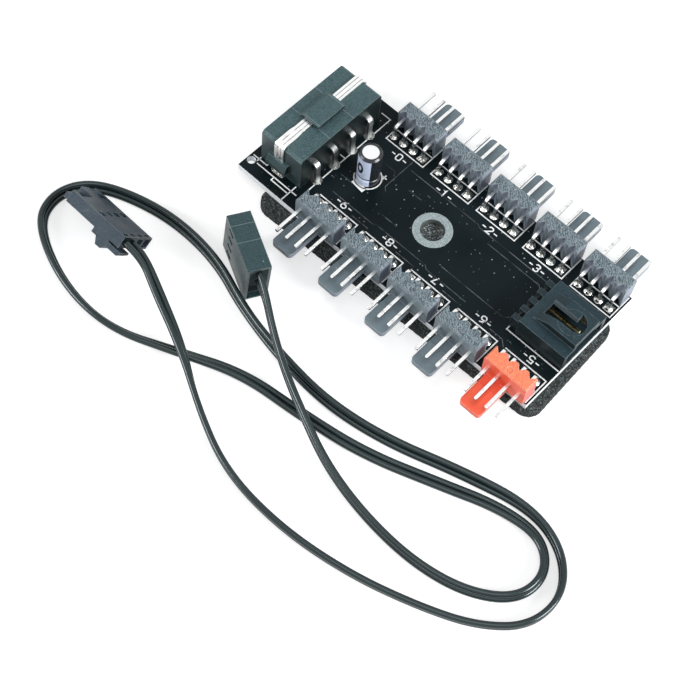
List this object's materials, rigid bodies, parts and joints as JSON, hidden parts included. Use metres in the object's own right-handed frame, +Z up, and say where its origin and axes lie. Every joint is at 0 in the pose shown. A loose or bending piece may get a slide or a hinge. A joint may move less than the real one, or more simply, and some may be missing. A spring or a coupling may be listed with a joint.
{
  "type": "fan controller hub",
  "caption": "Bare circuit board on a foam pad with fan headers along both long sides, a power header, a control socket and a loose flat control lead.",
  "frame": {"origin": "on the floor under the middle of the hub's bounding box, lead not counted", "axes": "+X along the board from the power header to the control socket, +Y to the side with ports 0 to 4, +Z up"},
  "size_m": [0.1265, 0.0899, 0.0139],
  "materials": {
    "board": "black solder mask",
    "solder": "tinned",
    "foam": "open-cell foam with adhesive",
    "red_nylon": "moulded",
    "grey_nylon": "moulded",
    "black_nylon": "moulded",
    "tin_plate": "bright tin plate",
    "gold_plate": "flash gold plate",
    "aluminium_can": "bare top",
    "sleeve": "shrunk film with a pale stripe",
    "bung": "moulded",
    "cord_jacket": "soft vinyl"
  },
  "bodies": {
    "root": {"capacitor_bung": "bung", "capacitor_can": "aluminium_can", "capacitor_leads": "tin_plate", "capacitor_sleeve": "sleeve", "circuit_board": "board", "control_lead": "cord_jacket", "control_socket_body": "black_nylon", "control_socket_pins": "gold_plate", "fan_header_0_body": "grey_nylon", "fan_header_0_pins": "tin_plate", "fan_header_1_body": "grey_nylon", "fan_header_1_pins": "tin_plate", "fan_header_2_body": "grey_nylon", "fan_header_2_pins": "tin_plate", "fan_header_3_body": "grey_nylon", "fan_header_3_pins": "tin_plate", "fan_header_4_body": "grey_nylon", "fan_header_4_pins": "tin_plate", "fan_header_5_body": "red_nylon", "fan_header_5_pins": "tin_plate", "fan_header_6_body": "grey_nylon", "fan_header_6_pins": "tin_plate", "fan_header_7_body": "grey_nylon", "fan_header_7_pins": "tin_plate", "fan_header_8_body": "grey_nylon", "fan_header_8_pins": "tin_plate", "fan_header_9_body": "grey_nylon", "fan_header_9_pins": "tin_plate", "fan_plug_body": "black_nylon", "fan_plug_contacts": "tin_plate", "foam_pad": "foam", "latched_plug_body": "black_nylon", "latched_plug_contacts": "tin_plate", "plated_ring": "solder", "power_header_housing": "black_nylon", "power_header_pins": "tin_plate", "power_header_strap": "tin_plate", "solder_joints": "solder"}
  },
  "joints": []
}
